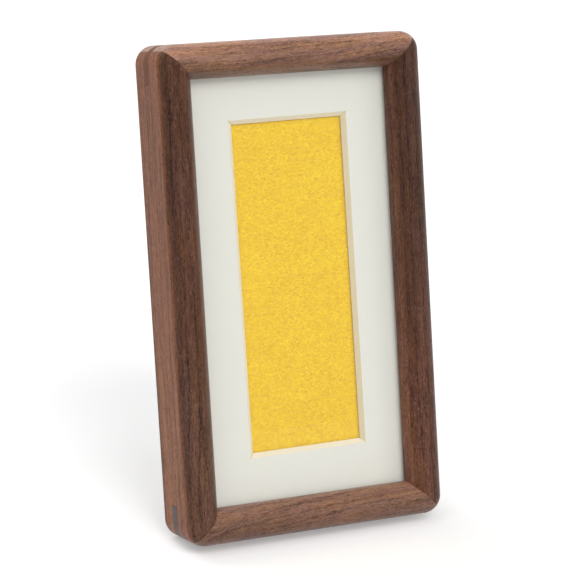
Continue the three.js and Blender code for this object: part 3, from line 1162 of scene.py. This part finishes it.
class AddFelt(bpy.types.Operator):
    """Make the felt insert, uneven where the window shows it"""

    bl_idname = "picture_frame.add_felt"
    bl_label = "Felt insert"

    def execute(self, context):
        m, s, *_ = all_sizes(context)
        finishes = context.scene.picture_frame.finishes
        # A fine grid over the window, wide enough for its shift to one side
        half_w = s.window_width / 2 + s.window_shift + s.felt
        half_h = s.window_height / 2 + s.window_rise + s.felt
        centre = (0, s.felt_front + s.gap, m.middle)
        take_up()
        bpy.ops.mesh.primitive_grid_add(
            x_subdivisions=round(2 * half_w / s.felt_pitch),
            y_subdivisions=round(2 * half_h / s.felt_pitch),
            size=2,
            location=centre,
            rotation=(math.pi / 2, 0, 0),
        )
        resize(half_w, half_h, centre)
        felt = named("felt_sheet")
        # Broad lumps, then fine ones, each with its share of the nap
        for scale, share in ((1.1, 0.6), (0.45, 0.5)):
            texture = bpy.data.textures.new("nap", "CLOUDS")
            texture.noise_scale = scale
            texture.noise_depth = 3
            modify(
                felt,
                "DISPLACE",
                texture=texture,
                strength=s.felt_nap * share,
                mid_level=1.0,
                direction="NORMAL",
            )
        # Out to the full sheet, and back by its thickness
        pick(felt, "EDGE", lambda edge: edge.is_boundary)
        bpy.ops.mesh.extrude_edges_move()
        bpy.ops.transform.resize(
            value=(s.half_width / half_w, 0, s.half_height / half_h),
            center_override=centre,
        )
        pick(felt, "EDGE", lambda edge: edge.is_boundary)
        bpy.ops.mesh.extrude_edges_move(TRANSFORM_OT_translate={"value": (0, s.felt - s.gap, 0)})
        bpy.ops.mesh.edge_face_add()
        take_up(felt)
        smooth(felt, degrees=60)
        cloth = material(
            "yellow_felt",
            felt_fibres(),
            {"Light": rgba(finishes.felt), "Dark": rgba(finishes.felt_shade)},
            relief=0.09,
            Specular_IOR_Level=0.1,
            Sheen_Weight=0.25,
            Sheen_Roughness=0.5,
        )
        set_down(felt, "frame", cloth, "felt_insert")
        return {"FINISHED"}


class AddBoards(bpy.types.Operator):
    """Finish the mount board and the foam board, and make the back panel"""

    bl_idname = "picture_frame.add_boards"
    bl_label = "Boards behind the felt"

    def execute(self, context):
        m, s, f, _ = all_sizes(context)
        finishes = context.scene.picture_frame.finishes
        for name, shade, slot in (
            ("mount_board", finishes.board, "mount_card"),
            ("foam_board", finishes.foam, "foam_filler"),
        ):
            finish_packed(name, paper(f"{name}_paper", shade, 0.85, 0.7))
        panel = sheet("panel_back", s, m, s.panel_front, s.panel)
        axis_y = s.panel_front + s.panel + s.gap + f.knuckle
        for sign in (-1, 1):
            x = sign * f.leaf_screw_pitch / 2
            z = f.hinge_height + f.leaf_screw_drop
            tip = axis_y + f.leaf_back - f.leaf_screw_length - s.gap
            hole = bar("hole", f.leaf_screw + s.gap, (x, tip, z), (x, axis_y, z), sides=24)
            carve(panel, hole)
        soften(panel, s.panel_arris)
        smooth(panel)
        hardboard = paper(
            "hardboard", finishes.panel, 0.8, 0.8, 0.03, light=1.25, Roughness_base=0.6
        )
        set_down(panel, "frame", hardboard, "back_panel")
        return {"FINISHED"}


# Brass


def screw(name, drive, head, head_height, shank, reach, crown=0):
    """A screw pointing to -y. The underside of its head is at y = 0, or its face if uncrowned."""
    if crown:
        body = bar(name, head, (0, 0, 0), (0, head_height, 0), sides=40)
        bevel(body, lies_at(Y, head_height), crown, segments=6)
        face, neck = head_height, 0
        pick(body, "FACE", lies_at(Y, neck))
        bpy.ops.mesh.inset(thickness=head - shank)
    else:
        body = bar(name, head, (0, -head_height, 0), (0, 0, 0), sides=40)
        face, neck = 0, -head_height
        pick(body, "FACE", lies_at(Y, neck))
        resize(shank / head, shank / head)
    # The shank, and a cone as long as the shank is wide, to a blunt point
    extrude(2 * shank - reach)
    extrude(-2 * shank)
    point = 0.05
    resize(point, point, (0, neck, 0))
    take_up(body)
    # The cross recess, a little over half as wide as the head and half as deep
    for axis in (X, Z):
        half = [drive / 2] * 3
        half[axis] = head * 0.58
        low = (-half[X], face - head_height / 2, -half[Z])
        high = (half[X], face + 1, half[Z])
        carve(body, block("slot", low, high))
    smooth(body, degrees=40)
    return body


class AddTurnButtons(bpy.types.Operator):
    """Make the five turn buttons and the screws that hold them"""

    bl_idname = "picture_frame.add_turn_buttons"
    bl_label = "Turn buttons"

    def execute(self, context):
        m, s, f, _ = all_sizes(context)
        metal = brass()
        end = f.button_width / 2
        button = block(
            "button",
            (-end, f.button_front, -end),
            (f.button_length - end, f.button_front + f.button_thickness, end),
        )
        bevel(button, runs_along(Y), end - CLOSE, segments=12)
        hole = bar("hole", f.button_screw + s.gap, (0, 0, 0), (0, 2 * f.button_seat, 0))
        carve(button, hole)
        soften(button, f.button_arris)
        smooth(button, degrees=40)
        fixing = screw(
            "fixing",
            f.drive,
            f.button_head,
            f.button_head_height,
            f.button_screw,
            f.button_screw_length,
            f.button_crown,
        )
        stile_x = m.half_width - f.button_inset
        places = {
            "left_upper": (-stile_x, m.middle + f.button_pitch / 2, 0),
            "left_lower": (-stile_x, m.middle - f.button_pitch / 2, 0),
            "right_upper": (stile_x, m.middle + f.button_pitch / 2, 180),
            "right_lower": (stile_x, m.middle - f.button_pitch / 2, 180),
            "top": (0, m.height - f.button_inset, 90),
        }
        for index, (name, (x, z, degrees)) in enumerate(places.items()):
            tab = copy_of(button, f"button_tab_{name}")
            turned = Matrix.Rotation(math.radians(degrees), 4, "Y")
            moved(tab, Matrix.Translation((x, 0, z)) @ turned)
            set_down(tab, f"button_{name}", metal, f"turn_button_{name}")
            # No two screws were driven to the same turn
            pin = copy_of(fixing, f"button_fixing_{name}")
            turned = Matrix.Rotation(math.radians(17 + 31 * index), 4, "Y")
            moved(pin, Matrix.Translation((x, f.button_seat, z)) @ turned)
            set_down(pin, "frame", metal, f"button_screw_{name}")
        for spare in (button, fixing):
            bpy.data.objects.remove(spare)
        return {"FINISHED"}


def hinge_leaf(name, s, f, knuckles, gaps):
    """A leaf hanging from the hinge axis, with knuckles and gaps over these runs along x."""
    half = f.leaf_width / 2
    leaf = block(name, (-half, f.leaf_front, -f.leaf_length), (half, f.leaf_back, 0))
    along, at_end = runs_along(Y), lies_at(Z, -f.leaf_length)
    bevel(leaf, lambda edge: along(edge) and at_end(edge), f.leaf_corner, segments=6)
    for start, end in gaps:
        low = (start, -f.leaf_width, -f.knuckle - s.gap)
        carve(leaf, block("gap", low, (end, f.leaf_width, f.leaf_width)))
    soften(leaf, f.leaf_arris, segments=2)
    # The knuckles' ends lie just inside the leaf's, so that no faces lie flush
    shy = CLOSE * 10
    for start, end in knuckles:
        start, end = start + shy, end - shy
        knuckle = bar("knuckle", f.knuckle, (start, 0, 0), (end, 0, 0), sides=40)
        for place in (start, end):
            bevel(knuckle, lies_at(X, place), f.knuckle_ease, segments=2)
        carve(leaf, knuckle, "UNION")
    carve(leaf, bar("bore", f.pin + s.gap, (-f.leaf_width, 0, 0), (f.leaf_width, 0, 0)))
    return leaf


def countersink(s, f, x, face, way):
    """The hole of a leaf screw whose head lies in a face, pointing along y by way."""
    # With a little play about the head
    head = f.leaf_screw_head + s.gap * 0.3
    bottom = face + way * f.countersink
    centre = (x, face, -f.leaf_screw_drop)
    hole = bar("hole", head, centre, (x, bottom, -f.leaf_screw_drop))
    pick(hole, "FACE", lies_at(Y, bottom))
    narrow = (f.leaf_screw + s.gap) / head
    resize(narrow, narrow, centre)
    extrude(way * 2 * f.leaf_thickness)
    pick(hole, "FACE", lies_at(Y, face))
    extrude(-way * f.leaf_thickness / 2)
    take_up(hole)
    return hole


def turned_up(piece):
    """Turns a leaf made for the strut to stand above the axis, as the panel's does."""
    take_up(piece)
    bpy.ops.object.mode_set(mode="EDIT")
    bpy.ops.mesh.select_all(action="SELECT")
    bpy.ops.transform.mirror(
        orient_type="GLOBAL", constraint_axis=(False, False, True), center_override=(0, 0, 0)
    )
    bpy.ops.mesh.normals_make_consistent(inside=False)
    take_up(piece)


class AddHinge(bpy.types.Operator):
    """Make the strut's butt hinge: two leaves, the pin and four countersunk screws"""

    bl_idname = "picture_frame.add_hinge"
    bl_label = "Hinge"

    def execute(self, context):
        _, s, f, t = all_sizes(context)
        metal = brass()
        half = f.leaf_width / 2
        split = f.leaf_width / 6
        inner, outer = split - s.gap / 2, split + s.gap / 2
        strut_leaf = hinge_leaf(
            "leaf_strut",
            s,
            f,
            [(-inner, inner)],
            [(-f.leaf_width, -inner), (inner, f.leaf_width)],
        )
        panel_leaf = hinge_leaf(
            "leaf_panel", s, f, [(-half, -outer), (outer, half)], [(-outer, outer)]
        )
        for sign in (-1, 1):
            x = sign * f.leaf_screw_pitch / 2
            carve(strut_leaf, countersink(s, f, x, f.leaf_front, 1))
            carve(panel_leaf, countersink(s, f, x, f.leaf_back, -1))
        turned_up(panel_leaf)
        for leaf in (strut_leaf, panel_leaf):
            for place in (f.leaf_front, f.leaf_back):
                crisp(leaf, lies_at(Y, place))
            smooth(leaf, degrees=40)
        set_down(panel_leaf, "frame", metal, "hinge_leaf_panel", HINGE_PLACE)
        set_down(strut_leaf, "strut", metal, "hinge_leaf_strut", HINGE_PLACE, t.opening)
        neck = half + s.gap
        pin = bar("pin", f.pin, (-neck, 0, 0), (neck, 0, 0))
        for sign in (-1, 1):
            end = sign * (neck + f.pin_head_height)
            head = bar("head", f.pin_head, (sign * neck, 0, 0), (end, 0, 0))
            bevel(head, lies_at(X, end), f.pin_head_round, segments=5)
            carve(pin, head, "UNION")
        smooth(pin, degrees=40)
        set_down(pin, "frame", metal, "hinge_pin", HINGE_PLACE)
        fixing = screw(
            "leaf_fixing",
            f.drive,
            f.leaf_screw_head,
            f.countersink,
            f.leaf_screw,
            f.leaf_screw_length,
        )
        for sign, name in ((-1, "left"), (1, "right")):
            x = sign * f.leaf_screw_pitch / 2
            for board, y, z, half_turns, turn, body in (
                ("panel", f.leaf_back, f.leaf_screw_drop, 0, 0, "frame"),
                ("strut", f.leaf_front, -f.leaf_screw_drop, 1, t.opening, "strut"),
            ):
                piece = copy_of(fixing, f"leaf_fixing_{board}_{name}")
                spun = Matrix.Rotation(math.radians(23 * sign), 4, "Y")
                facing = Matrix.Rotation(math.pi * half_turns, 4, "X")
                moved(piece, Matrix.Translation((x, y, z)) @ facing @ spun)
                stands_for = f"leaf_screw_{board}_{name}"
                set_down(piece, body, metal, stands_for, HINGE_PLACE, turn)
        bpy.data.objects.remove(fixing)
        return {"FINISHED"}


class AddStrut(bpy.types.Operator):
    """Make the easel strut, with horns that stop it and a foot cut to the floor"""

    bl_idname = "picture_frame.add_strut"
    bl_label = "Easel strut"

    def execute(self, context):
        _, s, f, t = all_sizes(context)
        tilt = t.opening - LEAN
        leg = HINGE_PLACE.z / MM / math.cos(tilt)
        foot = leg + t.thickness
        strut = block(
            "strut_board",
            (-t.foot_width / 2, t.front, -foot),
            (t.foot_width / 2, t.back, t.horn_height),
        )
        pick(strut, "FACE", lies_at(Z, t.horn_height))
        resize(t.top_width / t.foot_width, 1)
        notch = f.leaf_width / 2 + f.pin_head_height + 2 * s.gap
        carve(strut, block("notch", (-notch, -foot, -f.knuckle - 2 * s.gap), (notch, foot, foot)))
        # The panel, as the open strut meets it, and the floor
        back = Matrix.Rotation(-t.opening, 3, "X")
        saw(strut, back @ Vector((0, f.leaf_front, 0)), back @ Vector((0, -1, 0)))
        level = Matrix.Rotation(-tilt, 3, "X")
        saw(strut, level @ Vector((0, 0, -HINGE_PLACE.z / MM)), level @ Vector((0, 0, -1)))
        soften(strut, t.arris, degrees=30)
        smooth(strut)
        wood = walnut("walnut_strut", "stile", (14, 60, 40), (-t.opening, 0, 0), Ring_width=3.8)
        set_down(strut, "strut", wood, "easel_strut", HINGE_PLACE, t.opening)
        return {"FINISHED"}


# Stage


# Each lamp's turn about the frame from its front, its height and its spread, in degrees
LAMPS = {"front": (0, 40, 26), "right": (46, 16, 26), "left": (-45, 50, 45), "back": (-150, 48, 50)}

# The photographer's camera on the bench: its place in millimetres, its ways and its lens
CAMERA_PLACE = Vector((-311.7, -726.97, 176.6))
CAMERA_FORWARD = Vector((0.386964, 0.914884, -0.115093)).normalized()
CAMERA_UP = Vector((0.098669, 0.083017, 0.991651)).normalized()
CAMERA_LENS = 143.75


def lamp(name, watts):
    """A wide lamp that shines on the frame."""
    turn, height, spread = (math.radians(angle) for angle in LAMPS[name])
    level = math.cos(height)
    place = Vector((math.sin(turn) * level, -math.cos(turn) * level, math.sin(height)))
    take_up()
    facing = (-place).to_track_quat("-Z", "Y").to_euler()
    bpy.ops.object.light_add(type="SUN", location=place, rotation=facing)
    made = bpy.context.object
    made.name = made.data.name = name
    made.data.energy = watts
    made.data.angle = spread


def seen_directly(tree):
    """1 for what the camera sees, also in glass or metal, and 0 for light that falls on things."""
    rays = node(tree, "ShaderNodeLightPath").outputs
    seen = reckon("MAXIMUM", Value(rays["Is Camera Ray"]), Value(rays["Is Glossy Ray"]))
    return reckon("MAXIMUM", seen, Value(rays["Is Transmission Ray"]))


def floor_paint(context):
    """A white that glows a little to the eye alone."""
    settings = context.scene.picture_frame
    made, tree = blank_material("floor_paint")
    look = {
        "Base Color": rgba(settings.finishes.floor),
        "Roughness": 0.95,
        "Specular IOR Level": 0.1,
        "Emission Color": (1, 1, 1, 1),
        "Emission Strength": seen_directly(tree) * settings.stage.floor_white,
    }
    shader = add(tree, "ShaderNodeBsdfPrincipled", look)
    node(tree, "ShaderNodeOutputMaterial", {"Surface": shader})
    return made


def surround(context, ambient):
    """White to the eye, and a weaker even light on things."""
    world = bpy.data.worlds.new("surround")
    context.scene.world = world
    world.use_nodes = True
    tree = world.node_tree
    tree.nodes.clear()
    strength = reckon("MAXIMUM", seen_directly(tree), ambient)
    light = add(tree, "ShaderNodeBackground", {"Color": (1, 1, 1, 1), "Strength": strength})
    node(tree, "ShaderNodeOutputWorld", {"Surface": light})


class AddCamera(bpy.types.Operator):
    """Put the camera where the photographer stood"""

    bl_idname = "picture_frame.add_camera"
    bl_label = "Camera"

    def execute(self, context):
        take_up()
        bpy.ops.object.camera_add()
        camera = context.object
        camera.name = "camera"
        camera.data.lens = CAMERA_LENS
        camera.data.sensor_width = 36
        camera.data.clip_start = 0.01
        right = CAMERA_FORWARD.cross(CAMERA_UP).normalized()
        ways = Matrix((right, right.cross(CAMERA_FORWARD), -CAMERA_FORWARD))
        on_bench = Matrix.Translation(CAMERA_PLACE * MM) @ ways.transposed().to_4x4()
        tilt = Matrix.Rotation(-LEAN, 4, "X")
        camera.matrix_world = Matrix.Translation(bench_origin()) @ tilt @ on_bench
        context.scene.camera = camera
        return {"FINISHED"}


class AddStage(bpy.types.Operator):
    """Lay the floor and set the soft lamps and the white surroundings"""

    bl_idname = "picture_frame.add_stage"
    bl_label = "Stage"

    def execute(self, context):
        settings = context.scene.picture_frame.stage
        take_up()
        bpy.ops.mesh.primitive_plane_add(size=settings.floor_size)
        floor = named("floor")
        floor.data.materials.append(floor_paint(context))
        for name in LAMPS:
            lamp(name, getattr(settings, name))
        surround(context, settings.ambient)
        return {"FINISHED"}


# The add-on

OPERATORS = (
    AddCamera,
    AddMoulding,
    AddSplines,
    AddGlazing,
    AddMat,
    AddFelt,
    AddBoards,
    AddTurnButtons,
    AddHinge,
    AddStrut,
    AddStage,
)
GROUPS = (
    MouldingSizes,
    SheetSizes,
    FittingSizes,
    StrutSizes,
    Finishes,
    StageSettings,
    FrameSettings,
)


class PICTURE_FRAME_PT_pieces(bpy.types.Panel):
    """The pieces and their sizes and colours"""

    bl_label = "Picture frame"
    bl_space_type = "VIEW_3D"
    bl_region_type = "UI"
    bl_category = "Picture frame"

    def draw(self, context):
        settings = context.scene.picture_frame
        for operator in OPERATORS:
            self.layout.operator(operator.bl_idname)
        for part in settings.__annotations__:
            box = self.layout.box()
            box.label(text=part.capitalize())
            values = getattr(settings, part)
            for name in values.__annotations__:
                box.prop(values, name)


def register():
    for kind in (*GROUPS, *OPERATORS, PICTURE_FRAME_PT_pieces):
        bpy.utils.register_class(kind)
    bpy.types.Scene.picture_frame = bpy.props.PointerProperty(type=FrameSettings)


def unregister():
    del bpy.types.Scene.picture_frame
    for kind in reversed((*GROUPS, *OPERATORS, PICTURE_FRAME_PT_pieces)):
        bpy.utils.unregister_class(kind)


def main():
    register()
    bpy.context.scene.view_settings.view_transform = "Standard"
    for operator in OPERATORS:
        category, name = operator.bl_idname.split(".")
        getattr(getattr(bpy.ops, category), name)()
    take_up()


if __name__ == "__main__":
    main()
